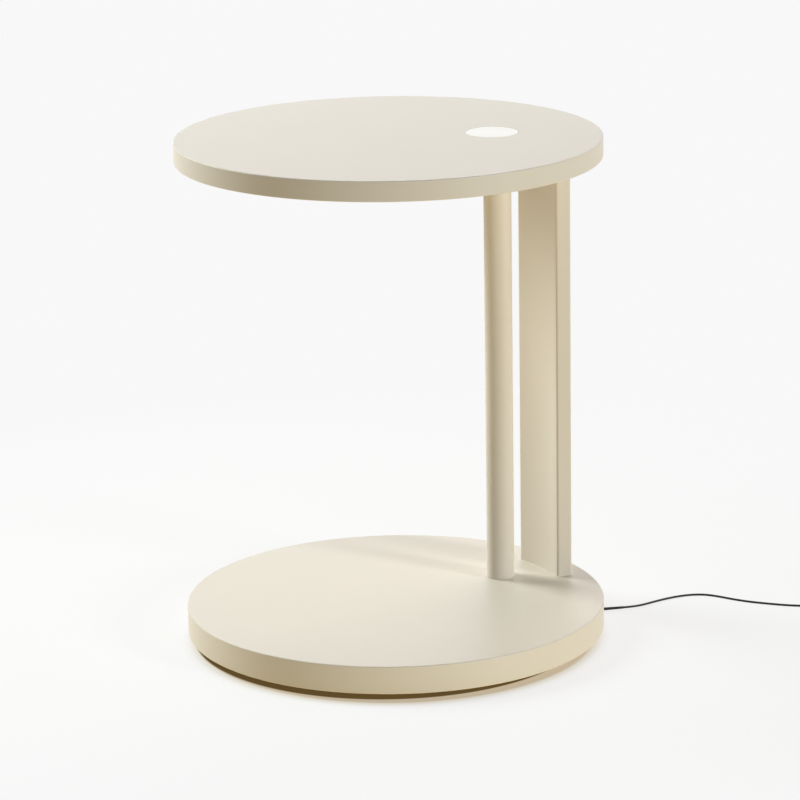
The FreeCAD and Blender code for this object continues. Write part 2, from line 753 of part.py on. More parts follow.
def cord_tie():
    """Flat band round the coil's turns."""
    cord_radius = CORD_DIAMETER / 2
    eye = COIL_OUTER_RADIUS - COIL_HALF_TURNS * COIL_PITCH / 2 - cord_radius
    inner = math.sqrt(eye ** 2 - (TIE_WIDTH / 2) ** 2) - TIE_GAP
    outer = COIL_OUTER_RADIUS + cord_radius + TIE_GAP
    low = COIL_HEIGHT - cord_radius - TIE_GAP
    high = coil_end_height + cord_radius + TIE_GAP
    band = Part.makeBox(
        outer - inner + 2 * TIE_THICKNESS, TIE_WIDTH, high - low + 2 * TIE_THICKNESS,
        Vector(inner - TIE_THICKNESS, -TIE_WIDTH / 2, low - TIE_THICKNESS),
    )
    corners = [edge for edge in band.Edges if abs(edge.tangentAt(edge.FirstParameter).y) > 0]
    band = band.makeFillet(TIE_CORNER_RADIUS, corners)
    start = Vector(inner, -TIE_WIDTH / 2 - OVERRUN, low)
    hole = Part.makeBox(outer - inner, TIE_WIDTH + 2 * OVERRUN, high - low, start)
    corners = [edge for edge in hole.Edges if abs(edge.tangentAt(edge.FirstParameter).y) > 0]
    band = band.cut(hole.makeFillet(TIE_CORNER_RADIUS - TIE_THICKNESS, corners))
    band.rotate(Vector(), up, COIL_HEADING + TIE_ANGLE)
    band.translate(Vector(COIL_CENTRE_X, COIL_CENTRE_Y, 0))
    return band


def on_plug(shape):
    """Moves a shape made along +X from the coil's end to where the plug lies."""
    turn = math.degrees(math.atan2(coil_exit_way.y, coil_exit_way.x))
    shape.rotate(Vector(), up, turn)
    shape.translate(coil_exit)
    return shape


def plug_relief():
    return on_plug(Part.makeCone(
        RELIEF_TIP_RADIUS, PLUG_RELIEF_RADIUS, PLUG_RELIEF_LENGTH, Vector(), Vector(1, 0, 0)
    ))


def plug_pin_places():
    """Where the pins start, inside the plug's body."""
    start = PLUG_RELIEF_LENGTH + PLUG_BODY_LENGTH - PIN_SOCKET
    return [Vector(start, side * PIN_SPACING / 2, 0) for side in (1, -1)]


def plug_body():
    """Plug-in supply, lying on its side face, with the sockets of its two pins."""
    corner = Vector(PLUG_RELIEF_LENGTH, -PLUG_BODY_WIDTH / 2, -coil_end_height)
    case = Part.makeBox(PLUG_BODY_LENGTH, PLUG_BODY_WIDTH, 2 * coil_end_height, corner)
    along = [edge for edge in case.Edges if abs(edge.tangentAt(edge.FirstParameter).x) > 0]
    case = case.makeFillet(PLUG_BODY_RADIUS, along)
    ends = [edge for edge in case.Edges if abs(edge.tangentAt(edge.FirstParameter).x) == 0]
    case = case.makeFillet(PLUG_FACE_RADIUS, ends)
    radius = PIN_RADIUS + SEAT_GAP
    sockets = [
        Part.makeCylinder(radius, PIN_SOCKET + OVERRUN, place, Vector(1, 0, 0))
        for place in plug_pin_places()
    ]
    return on_plug(case.cut(sockets))


def plug_pins():
    length = PIN_SOCKET + PIN_LENGTH
    pins = []
    for place in plug_pin_places():
        pin = Part.makeCylinder(PIN_RADIUS, length, place, Vector(1, 0, 0))
        middle = place.x + length / 2
        tip = [edge for edge in pin.Edges if edge.Closed and edge.CenterOfMass.x > middle]
        pins.append(on_plug(pin.makeFillet(PIN_RADIUS / 2, tip)))
    return pins


def main():
    os.makedirs("parts", exist_ok=True)
    export("base_board", [base_board()])
    export("base_anchor_plate", [anchor_plate(base_low, 1)])
    export("base_plate_screws", plate_screws(base_low))
    export("foot_pads", foot_pads())
    export("cord_gland", [cord_gland()])
    export("post_tube", [post_tube()])
    export("post_foot_plug", [post_plug(base_face, 1)])
    export("post_top_plug", [post_plug(top_low, -1)])
    export("post_foot_bolt", [post_bolt(base_low, 1, BASE_THICKNESS - PLATE_THICKNESS)])
    export("post_top_bolt", [post_bolt(top_plate_face, -1, 0)])
    export("curved_upright", [curved_upright()])
    export("upright_foot_screws", upright_screws(base_low, 1, BASE_THICKNESS - PLATE_THICKNESS))
    export("upright_top_screws", upright_screws(top_plate_face, -1, 0))
    export("top_anchor_plate", [top_anchor_plate()])
    export("top_plate_screws", plate_screws(top_low))
    export("top_board", [top_board()])
    export("light_housing", [light_housing()])
    export("led_board", [led_board()])
    export("led_chips", led_chips())
    export("switch_body", [switch_body()])
    export("switch_plunger", [switch_plunger()])
    export("light_lens", [light_lens()])
    export("return_spring", [return_spring()])
    export("lead_connector", [lead_connector()])
    export("lead_grommet", [lead_grommet()])
    export("inner_lead", [inner_lead()])
    export("cord_lead", [cord_lead()])
    export("cord_coil", [cord_coil()])
    export("cord_tie", [cord_tie()])
    export("plug_relief", [plug_relief()])
    export("plug_body", [plug_body()])
    export("plug_pins", plug_pins())


main()
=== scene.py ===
"""Builds the finished pieces of a side table with a light around its CAD frame."""

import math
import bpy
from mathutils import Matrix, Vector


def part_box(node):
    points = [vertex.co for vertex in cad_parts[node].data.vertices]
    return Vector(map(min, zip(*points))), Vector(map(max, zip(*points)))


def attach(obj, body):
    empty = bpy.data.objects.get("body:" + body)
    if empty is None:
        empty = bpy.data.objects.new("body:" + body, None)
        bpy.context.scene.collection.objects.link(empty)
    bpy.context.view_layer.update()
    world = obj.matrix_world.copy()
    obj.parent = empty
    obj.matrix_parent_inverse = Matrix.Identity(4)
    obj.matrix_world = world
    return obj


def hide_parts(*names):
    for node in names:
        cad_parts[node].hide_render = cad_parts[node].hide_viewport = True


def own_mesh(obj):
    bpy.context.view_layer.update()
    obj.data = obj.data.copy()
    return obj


bl_info = {
    "name": "Side Table With Light",
    "version": (1, 0, 0),
    "blender": (4, 5, 0),
    "location": "3D View > Sidebar > Side Table",
    "description": "Builds the finished pieces of a side table with a light around its CAD frame",
    "category": "Object",
}

import bmesh
import bpy
from bpy.props import FloatProperty, FloatVectorProperty, IntProperty, PointerProperty
from bpy.types import Operator, Panel, PropertyGroup
from mathutils import Matrix, Vector

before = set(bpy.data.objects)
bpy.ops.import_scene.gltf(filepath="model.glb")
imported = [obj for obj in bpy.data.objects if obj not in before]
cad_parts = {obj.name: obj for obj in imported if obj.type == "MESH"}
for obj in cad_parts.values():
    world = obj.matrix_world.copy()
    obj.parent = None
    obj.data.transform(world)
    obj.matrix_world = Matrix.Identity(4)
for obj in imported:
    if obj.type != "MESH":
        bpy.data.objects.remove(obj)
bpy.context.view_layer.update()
UP = Vector((0, 0, 1))

# Steps round a shape
PLATE_STEPS = 192
LENS_STEPS = 128
POST_STEPS = 96
FOOT_STEPS = 64
SMALL_STEPS = 32
WIRE_STEPS = 12
SPRING_STEPS = 40
EDGE_STEPS = 6

OVERRUN = 0.001  # how far a cutter runs past a face that it opens
SAME_PLACE = 1e-6
SHARP_ANGLE = math.radians(35)
CORNER_ANGLE = math.radians(57)

# The cord's route over the floor, then its coil
CORD_ROUTE = [
    Vector((0.07984, 0.22421, 0.0026)),
    Vector((0.08245, 0.23155, 0.0026)),
    Vector((0.0815, 0.2460, 0.0015)),
    Vector((0.0783, 0.2660, 0.0012)),
    Vector((0.0775, 0.2860, 0.0012)),
    Vector((0.0800, 0.3040, 0.0012)),
    Vector((0.0875, 0.3185, 0.0012)),
    Vector((0.1010, 0.3275, 0.0012)),
    Vector((0.1175, 0.3345, 0.0012)),
    Vector((0.1340, 0.3440, 0.0012)),
    Vector((0.1505, 0.3570, 0.0012)),
    Vector((0.1680, 0.3725, 0.0012)),
    Vector((0.1860, 0.3965, 0.0012)),
]
CORD_LAST_RUN = 0.018
OUTWARD = CORD_ROUTE[0].to_2d().normalized().to_3d()
COIL_CENTRE = Vector((0.1971, 0.4484, 0))
COIL_HEADING = math.radians(59)
COIL_OUTER = 0.0197
COIL_PITCH = 0.00325
COIL_LOW = 0.0021
COIL_LAYER = 0.0031
COIL_LAYERS = 4
COIL_HALF_TURNS = 8
COIL_STEPS = 6

# A relief's rings: their start and span in shares of its length, and one ring's corners
# as a share of the pitch and a depth in root radii
RINGS_START = 0.12
RINGS_SPAN = 0.7
RING_SHAPE = ((0, 0), (0.55, 0), (0.6, 0.12), (0.95, 0.12))

# Lamps: turn to the right of the camera, height above the floor and width in degrees.
# One with a distance is a disc, in metres from the table, and the others are far away.
LAMPS = {
    "key": {"turn": 56, "height": 15, "width": 12},
    "side": {"turn": -120, "height": 32, "width": 30, "distance": 4},
    "back": {"turn": 180, "height": 35, "width": 40},
    "rear": {"turn": 150, "height": 35, "width": 40},
}
LAMP_AIM = Vector((0, 0, 0.256))

# The floor's painted shade and painted shadow: rings about a centre, from one radius to another
FLOOR_HALF = 30
LIT_FLOOR = (0.30, 0.90)
# Painted shadow: a dark ring painted on the floor under the base's edge, with its centre and radii
PAINTED_CONTACT_CENTRE = Vector((0.0082, -0.0128, 0))
PAINTED_CONTACT_EDGE = (0.1948, 0.1972)
# Painted shade: a warm darkening of the floor round the base, fading to white further out
SHADE_CENTRE = Vector((0.0178, -0.0107, 0))
SHADE_EDGE = (0.197, 0.216)
SHADE_FIRST, SHADE_LAST = (0.62, 0.52, 0.38, 1), (1, 1, 1, 1)
SHADE_BETWEEN = ((0.2, (0.80, 0.755, 0.66, 1)), (0.63, (0.95, 0.945, 0.93, 1)))

# Sockets of a colour Mix node
MIX_FACTOR, MIX_A, MIX_B, MIX_RESULT = 0, 6, 7, 2


def span(node, axis):
    """Size of a CAD node along X, Y or Z (0, 1 or 2)."""
    low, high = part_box(node)
    return high[axis] - low[axis]


def middle(node):
    low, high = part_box(node)
    return (low + high) / 2


# Settings


def length_property(name, description, default):
    return FloatProperty(
        name=name, description=description, default=default, min=0, unit="LENGTH", precision=4
    )


def angle_property(name, description, degrees):
    return FloatProperty(
        name=name, description=description, default=math.radians(degrees), subtype="ANGLE"
    )


def colour_property(name, description, default):
    return FloatVectorProperty(
        name=name, description=description, default=default, size=3, min=0, max=1, subtype="COLOR"
    )


def share_property(name, description, default):
    return FloatProperty(
        name=name, description=description, default=default, min=0, max=1, subtype="FACTOR"
    )


def level_property(name, description, default):
    return FloatProperty(name=name, description=description, default=default, min=0)


def count_property(name, description, default, least):
    return IntProperty(name=name, description=description, default=default, min=least)


class TableSizes(PropertyGroup):
    """Sizes that the finished pieces add to those of the frame."""

    round_steps: count_property("Round steps", "Steps round a board's edge", 256, 48)
    board_edge: length_property("Board edge", "Radius on the boards' edges", 0.0012)
    seat_gap: length_property("Seat gap", "Gap round a plate or the light's housing", 0.0003)
    outlet_inner: length_property("Outlet start", "From the boards' axis to the outlet", 0.1915)
    outlet_outer: length_property("Outlet end", "From the boards' axis to its outer end", 0.225)
    outlet_width: length_property("Outlet width", "Width of the cord's outlet", 0.010)
    outlet_height: length_property("Outlet height", "Height of the cord's outlet", 0.009)
    post_wall: length_property("Post wall", "Wall of the post's tube", 0.002)
    post_edge: length_property("Post edge", "Radius on the ends of the post", 0.0004)
    upright_half_angle: angle_property(
        "Upright half angle", "Half of the arc that the upright takes up", 11.6
    )
    upright_inner: length_property(
        "Upright inner radius", "From the boards' axis to the upright's inner face", 0.1762
    )
    upright_outer: length_property(
        "Upright outer radius", "From the boards' axis to the upright's outer face", 0.1922
    )
    upright_edge: length_property("Upright edge", "Radius on the upright's long edges", 0.0022)
    upright_wall: length_property("Upright wall", "Wall round the upright's chambers", 0.003)
    upright_web: length_property("Upright web", "Wall round the upright's screw ports", 0.0017)
    upright_port: length_property("Upright port", "Radius of the upright's screw ports", 0.00295)
    upright_port_angle: angle_property(
        "Upright port angle", "From the upright's middle to a screw port", 4
    )
    lens_radius: length_property("Lens radius", "Radius of the lens in the top", 0.026)
    lens_gap: length_property("Lens gap", "Gap round the lens", 0.0003)
    lens_shoulder: length_property("Lens shoulder", "Board over the lens's flange", 0.005)
    lens_flange: length_property("Lens flange", "Thickness of the lens's flange", 0.0018)
    lens_wall: length_property("Lens wall", "Wall of the lens", 0.0025)
    lens_stem: length_property("Lens stem", "Radius of the stem on the switch", 0.0024)
    lens_edge: length_property("Lens edge", "Radius on the lens's rim", 0.0006)
    foot_count: count_property("Feet", "Number of pads under the base", 5, 3)
    foot_ring: length_property("Foot ring", "From the boards' axis to a pad", 0.185)
    foot_radius: length_property("Foot radius", "Radius of a pad", 0.012)
    foot_cup: length_property("Foot cup", "Radius of the hollow under a pad", 0.0048)
    foot_edge: length_property("Foot edge", "Radius on a pad's rim, and its cup's depth", 0.0008)
    cord_diameter: length_property("Cord diameter", "Diameter of the cord", 0.0022)
    spring_wire: length_property("Spring wire", "Wire of the lens spring", 0.0008)
    spring_turns: count_property("Spring turns", "Turns of the lens spring", 4, 1)


class TableCordEnds(PropertyGroup):
    """Sizes of the gland and the plug at the cord's ends."""

    gland_inner: length_property("Gland start", "From the boards' axis to the gland", 0.1908)
    gland_outer: length_property("Gland end", "From the boards' axis to its outer face", 0.204)
    gland_width: length_property("Gland width", "Width of the gland's block", 0.0096)
    gland_edge: length_property("Gland edge", "Radius on the gland's edges", 0.0004)
    neck_width: length_property("Neck width", "Width of the gland's neck", 0.004)
    neck_length: length_property("Neck length", "Length of the gland's neck", 0.010)
    neck_height: length_property("Neck height", "Height of the gland's neck", 0.0026)
    relief_tip: length_property("Relief tip", "Radius of the relief at the cord", 0.00125)
    relief_root: length_property("Relief root", "Radius of the relief at its collar", 0.0017)
    relief_length: length_property("Relief length", "Length of the gland's relief", 0.034)
    collar_radius: length_property("Collar radius", "Radius of the relief's collar", 0.0023)
    collar_length: length_property("Collar length", "Length of the relief's collar", 0.010)
    sleeve_tip: length_property("Sleeve tip", "Radius of the plug's sleeve at the cord", 0.0014)
    sleeve_root: length_property("Sleeve root", "Radius of the plug's sleeve at the plug", 0.0028)
    sleeve_length: length_property("Sleeve length", "Length of the plug's sleeve", 0.021)
    sleeve_rings: count_property("Sleeve rings", "Rings cut into the plug's sleeve", 6, 0)
    plug_length: length_property("Plug length", "Length of the plug's case", 0.028)
    plug_width: length_property("Plug width", "Width of the plug's case", 0.028)
    plug_corner: length_property("Plug corner", "Radius on the case's long edges", 0.004)
    plug_edge: length_property("Plug edge", "Radius on the case's end edges", 0.0012)
    pin_offset: length_property("Pin offset", "From the plug's middle to a pin", 0.0095)
    pin_radius: length_property("Pin radius", "Radius of a pin", 0.002)
    pin_length: length_property("Pin length", "Length of a pin", 0.019)
    pin_nose: length_property("Pin nose", "Length of a pin's rounded end", 0.001)


class TableFinishes(PropertyGroup):
    """Colours and sheen of the finished pieces."""

    board: colour_property("Board lacquer", "Lacquer on the boards", (0.80, 0.75, 0.665))
    coat: colour_property("Powder coat", "On the post, upright and plates", (0.77, 0.71, 0.615))
    sheen: share_property("Coat roughness", "Roughness of lacquer and powder coat", 0.42)
    lens: colour_property("Opal lens", "Lens of the light", (0.90, 0.895, 0.885))
    glow: level_property("Lens glow", "Light given off by the lens", 0.13)
    jacket: colour_property("Cord jacket", "Cord, gland and plug", (0.015, 0.013, 0.011))
    rubber: colour_property("Foot rubber", "Pads under the base", (0.02, 0.02, 0.02))
    steel: colour_property("Zinc steel", "Screws, bolts and spring", (0.52, 0.53, 0.54))
    nickel: colour_property("Nickel", "Plug's pins", (0.72, 0.71, 0.69))
    aluminium: colour_property("Aluminium", "Light's housing", (0.70, 0.71, 0.72))
    phosphor: colour_property("Phosphor", "Light source's chips", (0.90, 0.62, 0.12))


class TableStage(PropertyGroup):
    """Camera, lamps and ground."""

    camera_place: FloatVectorProperty(
        name="Camera place", description="Where the camera stands",
        default=(3.0765, -1.8398, 1.2272), size=3, subtype="TRANSLATION",
    )
    camera_turn: angle_property("Camera azimuth", "Camera's turn round the table", 59)
    camera_pitch: angle_property("Camera pitch", "Camera's tilt below level", 15.402)
    camera_roll: angle_property("Camera roll", "Camera's turn about its own axis", -0.93)
    camera_lens: FloatProperty(
        name="Camera lens", description="Focal length", default=168.07, unit="CAMERA"
    )
    key: level_property("Key light", "Strength of the light from the right", 1.72)
    key_colour: colour_property("Key colour", "Light from the right", (0.96, 1, 0.985))
    side: level_property("Side light", "Power of the soft light from the left", 148)
    side_colour: colour_property("Side colour", "Light from the left", (0.957, 1, 0.965))
    back: level_property("Back light", "Strength of the soft light from behind", 0.36)
    back_colour: colour_property("Back colour", "Light from behind", (1, 1, 1))
    rear: level_property("Rear light", "Strength of the warm light from the rear right", 0.58)
    rear_colour: colour_property("Rear colour", "Light from the rear right", (1, 0.81, 0.71))
    ground: share_property("Ground", "Share of light that the floor shows near the table", 0.22)
    ground_white: share_property("Ground white", "White of the floor and backdrop", 0.94)
    ground_near_white: level_property("Near white", "Times the floor's white near the table", 1.055)
    ground_lit: share_property("Ground lit", "Share of its light that the floor gives back", 0.45)
    ground_near: level_property("Ground near", "Times the even light near the table", 1.5)
    ground_even: colour_property("Ground even", "Even light off the floor", (0.36, 0.262, 0.085))
    # Painted shadow: the dark brown painted on the floor under the base's edge
    contact: colour_property("Contact", "Floor under the base's edge", (0.125, 0.08, 0.028))


def sizes():
    return bpy.context.scene.table_sizes


def cord_ends():
    return bpy.context.scene.table_cord_ends


def finishes():
    return bpy.context.scene.table_finishes


# Materials


def adder(tree):
    """A function that adds a node to a tree, with its settings and the links into it."""

    def add(kind, links=None, **settings):
        node = tree.nodes.new(kind)
        for key, value in settings.items():
            if hasattr(node, key):
                setattr(node, key, value)
            else:
                node.inputs[key.replace("_", " ")].default_value = value
        for key, source in (links or {}).items():
            tree.links.new(source, node.inputs[key])
        return node

    return add


def new_material(name):
    """A new empty material, and a function that adds nodes to it."""
    material = bpy.data.materials.new(name)
    material.use_nodes = True
    material.node_tree.nodes.clear()
    return material, adder(material.node_tree)


def surface(add, links, **sockets):
    """Shader with its links and values, joined to the material's output."""
    shader = add("ShaderNodeBsdfPrincipled", links, **sockets)
    add("ShaderNodeOutputMaterial", {"Surface": shader.outputs["BSDF"]})


def mixed_colour(add, factor, low, high):
    mix = add("ShaderNodeMix", {MIX_FACTOR: factor}, data_type="RGBA")
    mix.inputs[MIX_A].default_value = (*low, 1)
    mix.inputs[MIX_B].default_value = (*high, 1)
    return mix.outputs[MIX_RESULT]


def shaded(colour, share):
    return tuple(min(1, part * share) for part in colour)


def grained(name, colour, roughness, grain_scale, grain_depth=0.00002, mottle=0.015,
            cloud_scale=14, stretch=(1, 1, 1), **sockets):
    """Finish with soft clouds in its colour, and a fine grain in its sheen and relief."""
    swing = 0.05
    material, add = new_material(name)
    place = add("ShaderNodeTexCoord").outputs["Object"]
    clouds = add(
        "ShaderNodeTexNoise", {"Vector": place}, Scale=cloud_scale, Detail=4, Roughness=0.55
    )
    tone = mixed_colour(
        add, clouds.outputs["Fac"], shaded(colour, 1 - mottle), shaded(colour, 1 + mottle)
    )
    stretched = add("ShaderNodeMapping", {"Vector": place}, Scale=stretch).outputs["Vector"]
    grain = add("ShaderNodeTexNoise", {"Vector": stretched}, Scale=grain_scale, Detail=2)
    height = grain.outputs["Fac"]
    sheen = add(
        "ShaderNodeMapRange", {"Value": height}, To_Min=roughness - swing, To_Max=roughness + swing
    )
    relief = add("ShaderNodeBump", {"Height": height}, Strength=1, Distance=grain_depth)
    links = {
        "Base Color": tone, "Roughness": sheen.outputs["Result"],
        "Normal": relief.outputs["Normal"],
    }
    surface(add, links, **sockets)
    return material


def board_lacquer():
    return grained(
        "board_lacquer", finishes().board, finishes().sheen, grain_scale=700, grain_depth=0.000008
    )


def powder_coat():
    return grained(
        "powder_coat", finishes().coat, finishes().sheen, grain_scale=1100, grain_depth=0.000014
    )


def opal_plastic():
    return grained(
        "opal_plastic", finishes().lens, 0.42, mottle=0.006, cloud_scale=40, grain_scale=2600,
        grain_depth=0.000004, Emission_Color=(1, 0.985, 0.96, 1),
        Emission_Strength=finishes().glow,
    )


def cord_jacket():
    return grained(
        "cord_jacket", finishes().jacket, 0.48, mottle=0.12, cloud_scale=60, grain_scale=2200,
        Specular_IOR_Level=0.25,
    )


def moulded_black():
    return grained(
        "moulded_black", finishes().jacket, 0.55, mottle=0.1, cloud_scale=50, grain_scale=1500,
        grain_depth=0.00004, Specular_IOR_Level=0.25,
    )


def pad_rubber():
    return grained(
        "pad_rubber", finishes().rubber, 0.8, mottle=0.2, cloud_scale=90, grain_scale=1200,
        grain_depth=0.00005,
    )


def zinc_steel():
    return grained(
        "zinc_steel", finishes().steel, 0.34, mottle=0.06, cloud_scale=120, grain_scale=900,
        grain_depth=0.000006, stretch=(1, 1, 0.08), Metallic=1,
    )


def turned_aluminium():
    return grained(
        "turned_aluminium", finishes().aluminium, 0.3, mottle=0.04, cloud_scale=80,
        grain_scale=1600, grain_depth=0.000006, stretch=(0.1, 0.1, 1), Metallic=1,
    )


def nickel_plate():
    return grained(
        "nickel_plate", finishes().nickel, 0.2, mottle=0.03, cloud_scale=150, grain_scale=1800,
        grain_depth=0.000003, Metallic=1,
    )


def phosphor():
    return grained(
        "phosphor", finishes().phosphor, 0.4, mottle=0.08, cloud_scale=600, grain_scale=4000
    )


def circuit_mask():
    """White circuit board with ring-shaped tracks under its mask."""
    material, add = new_material("circuit_mask")
    place = add("ShaderNodeTexCoord").outputs["Object"]
    centred = add("ShaderNodeMapping", {"Vector": place}, Location=-middle("led_board"))
    rings = add(
        "ShaderNodeTexWave", {"Vector": centred.outputs["Vector"]},
        wave_type="RINGS", rings_direction="Z", Scale=90, Distortion=0,
    ).outputs["Fac"]
    tone = mixed_colour(add, rings, (0.80, 0.80, 0.78), (0.88, 0.88, 0.86))
    relief = add("ShaderNodeBump", {"Height": rings}, Strength=0.5, Distance=0.00003)
    surface(add, {"Base Color": tone, "Normal": relief.outputs["Normal"]}, Roughness=0.4)
    return material


def woven_band():
    """Plain weave for the cord's tie."""
    material, add = new_material("woven_band")
    place = add("ShaderNodeTexCoord").outputs["Object"]
    threads = {}
    for index, way in enumerate("XZ"):
        threads[index] = add(
            "ShaderNodeTexWave", {"Vector": place}, bands_direction=way, Scale=320, Distortion=0.4
        ).outputs["Fac"]
    weave = add("ShaderNodeMath", threads, operation="MULTIPLY").outputs["Value"]
    tone = mixed_colour(add, weave, (0.008, 0.008, 0.009), (0.035, 0.035, 0.037))
    relief = add("ShaderNodeBump", {"Height": weave}, Strength=0.8, Distance=0.0002)
    surface(add, {"Base Color": tone, "Normal": relief.outputs["Normal"]}, Roughness=0.85)
    return material


def finish(make):
    """A material by the function that makes it, made at its first use."""
    return bpy.data.materials.get(make.__name__) or make()


# Shaping


def spun(profile, steps, axis_place=Vector(), close=True):
    """Solid of revolution of (radius, height) corners about an upright axis."""
    bm = bmesh.new()
    corners = [
        bm.verts.new((axis_place.x + radius, axis_place.y, height)) for radius, height in profile
    ]
    edges = [bm.edges.new(pair) for pair in zip(corners, corners[1:])]
    if close:
        edges.append(bm.edges.new((corners[-1], corners[0])))
    bmesh.ops.spin(
        bm, geom=corners + edges, cent=axis_place, axis=UP, angle=math.tau, steps=steps,
        use_merge=True,
    )
    bmesh.ops.remove_doubles(bm, verts=bm.verts, dist=SAME_PLACE)
    bmesh.ops.recalc_face_normals(bm, faces=bm.faces)
    return bm


def bevelled(bm, edges, radius, segments):
    bmesh.ops.bevel(
        bm, geom=edges, offset=radius, offset_type="OFFSET", affect="EDGES",
        segments=segments, profile=0.5, material=-1, clamp_overlap=True,
    )


def rise(edge, axis):
    """How far an edge runs along X, Y or Z (0, 1 or 2)."""
    return abs(edge.verts[0].co[axis] - edge.verts[1].co[axis])


def moved(bm, matrix):
    bmesh.ops.transform(bm, verts=bm.verts, matrix=matrix)
    return bm


def block(width, depth, height, place=Vector()):
    """Closed box about a place."""
    bm = bmesh.new()
    bmesh.ops.create_cube(bm, size=1)
    bmesh.ops.scale(bm, verts=bm.verts, vec=(width, depth, height))
    bmesh.ops.translate(bm, verts=bm.verts, vec=place)
    return bm


def drum(radius, low, high, steps, place=Vector()):
    """Closed upright cylinder, with one face at each end."""
    bm = bmesh.new()
    bmesh.ops.create_cone(
        bm, cap_ends=True, segments=steps, radius1=radius, radius2=radius, depth=high - low,
        matrix=Matrix.Translation((place.x, place.y, (low + high) / 2)),
    )
    return bm


def capsule(start, end, width, low, high):
    """Closed upright block between two places, with round ends."""
    bm = drum(width / 2, low, high, SMALL_STEPS)
    run = (end - start).to_2d()
    far = [vert for vert in bm.verts if vert.co.x > 0]
    bmesh.ops.translate(bm, verts=far, vec=(run.length, 0, 0))
    turn = Matrix.Rotation(math.atan2(run.y, run.x), 4, "Z")
    return moved(bm, Matrix.Translation((start.x, start.y, 0)) @ turn)


def arc_block(inner, outer, start, end, low, high):
    """Closed upright block between two radii and two turns from +Y about the boards' axis."""
    bm = bmesh.new()
    ends = [
        bm.verts.new((radius * math.sin(end), radius * math.cos(end), low))
        for radius in (inner, outer)
    ]
    edge = bm.edges.new(ends)
    bmesh.ops.spin(
        bm, geom=[*ends, edge], cent=(0, 0, low), axis=UP, angle=end - start, steps=SMALL_STEPS
    )
    risen = bmesh.ops.extrude_face_region(bm, geom=bm.faces[:], use_keep_orig=True)["geom"]
    verts = [part for part in risen if isinstance(part, bmesh.types.BMVert)]
    bmesh.ops.translate(bm, verts=verts, vec=(0, 0, high - low))
    bmesh.ops.recalc_face_normals(bm, faces=bm.faces)
    flat = [face for face in bm.faces if abs(face.normal.z) > 0.5]
    bmesh.ops.dissolve_faces(bm, faces=flat)
    return bm


def meshed(name, bm):
    """Mesh from a bmesh, which is used up."""
    mesh = bpy.data.meshes.new(name)
    bm.to_mesh(mesh)
    bm.free()
    return mesh


def placed(name, data):
    """New object in the scene."""
    thing = bpy.data.objects.new(name, data)
    bpy.context.scene.collection.objects.link(thing)
    return thing


def merged(*shapes):
    """One bmesh that holds several."""
    whole = bmesh.new()
    for shape in shapes:
        mesh = meshed("shape", shape)
        whole.from_mesh(mesh)
        bpy.data.meshes.remove(mesh)
    return whole


def carved(bm, *cutters):
    """A bmesh with others cut out of it."""
    things = [placed("carving", meshed("carving", shape)) for shape in (bm, *cutters)]
    for cutter in things[1:]:
        cut = things[0].modifiers.new("cut", "BOOLEAN")
        cut.operation = "DIFFERENCE"
        cut.solver = "EXACT"
        cut.object = cutter
    bpy.context.view_layer.update()
    graph = bpy.context.evaluated_depsgraph_get()
    mesh = bpy.data.meshes.new_from_object(things[0].evaluated_get(graph))
    result = bmesh.new()
    result.from_mesh(mesh)
    bpy.data.meshes.remove(mesh)
    for thing in things:
        mesh = thing.data
        bpy.data.objects.remove(thing)
        bpy.data.meshes.remove(mesh)
    return result


def piece(name, bm, material, body, replaced):
    """Finished object from a bmesh: smooth, with its corners kept sharp."""
    for face in bm.faces:
        face.smooth = True
    for edge in bm.edges:
        edge.smooth = edge.is_boundary or edge.calc_face_angle(0) < SHARP_ANGLE
    mesh = meshed(name, bm)
    mesh.materials.append(material)
    thing = placed(name, mesh)
    normals = thing.modifiers.new("even_normals", "WEIGHTED_NORMAL")
    normals.keep_sharp = True
    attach(thing, body)
    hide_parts(*replaced)
    return thing


def board_blank(node):
    """Round board with eased edges."""
    low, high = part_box(node)
    bm = drum((high.x - low.x) / 2, low.z, high.z, sizes().round_steps)
    rims = [edge for edge in bm.edges if rise(edge, 2) < SAME_PLACE]
    bevelled(bm, rims, sizes().board_edge, segments=5)
    return bm


def recess(plate):
    """Cutter for the seat of a plate, open below."""
    low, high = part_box(plate)
    radius = span(plate, 0) / 2 + sizes().seat_gap
    return drum(radius, low.z - OVERRUN, high.z, PLATE_STEPS, middle(plate))


# Pieces


class TABLE_OT_base(Operator):
    """Round base board with its plate's seat and the cord's outlet"""

    bl_idname = "table.base"
    bl_label = "Base board"

    def execute(self, context):
        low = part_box("base_board")[0]
        outlet = capsule(
            OUTWARD * sizes().outlet_inner, OUTWARD * sizes().outlet_outer, sizes().outlet_width,
            low.z - OVERRUN, low.z + sizes().outlet_height,
        )
        bm = carved(board_blank("base_board"), recess("base_anchor_plate"), outlet)
        lacquer = finish(board_lacquer)
        piece("base_disc", bm, lacquer, "table", ["base_board"])
        return {"FINISHED"}


class TABLE_OT_top(Operator):
    """Round top board with the light's stepped bore and its plate's seat"""

    bl_idname = "table.top"
    bl_label = "Top board"

    def execute(self, context):
        low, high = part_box("top_board")
        place = middle("light_lens")
        shoulder = high.z - sizes().lens_shoulder
        bore_radius = sizes().lens_radius + sizes().lens_gap
        bore = drum(bore_radius, shoulder - OVERRUN, high.z + OVERRUN, LENS_STEPS, place)
        pocket_radius = span("light_housing", 0) / 2 + sizes().seat_gap
        pocket = drum(pocket_radius, low.z, shoulder, LENS_STEPS, place)
        bm = carved(board_blank("top_board"), recess("top_anchor_plate"), pocket, bore)
        lacquer = finish(board_lacquer)
        piece("top_disc", bm, lacquer, "table", ["top_board"])
        return {"FINISHED"}


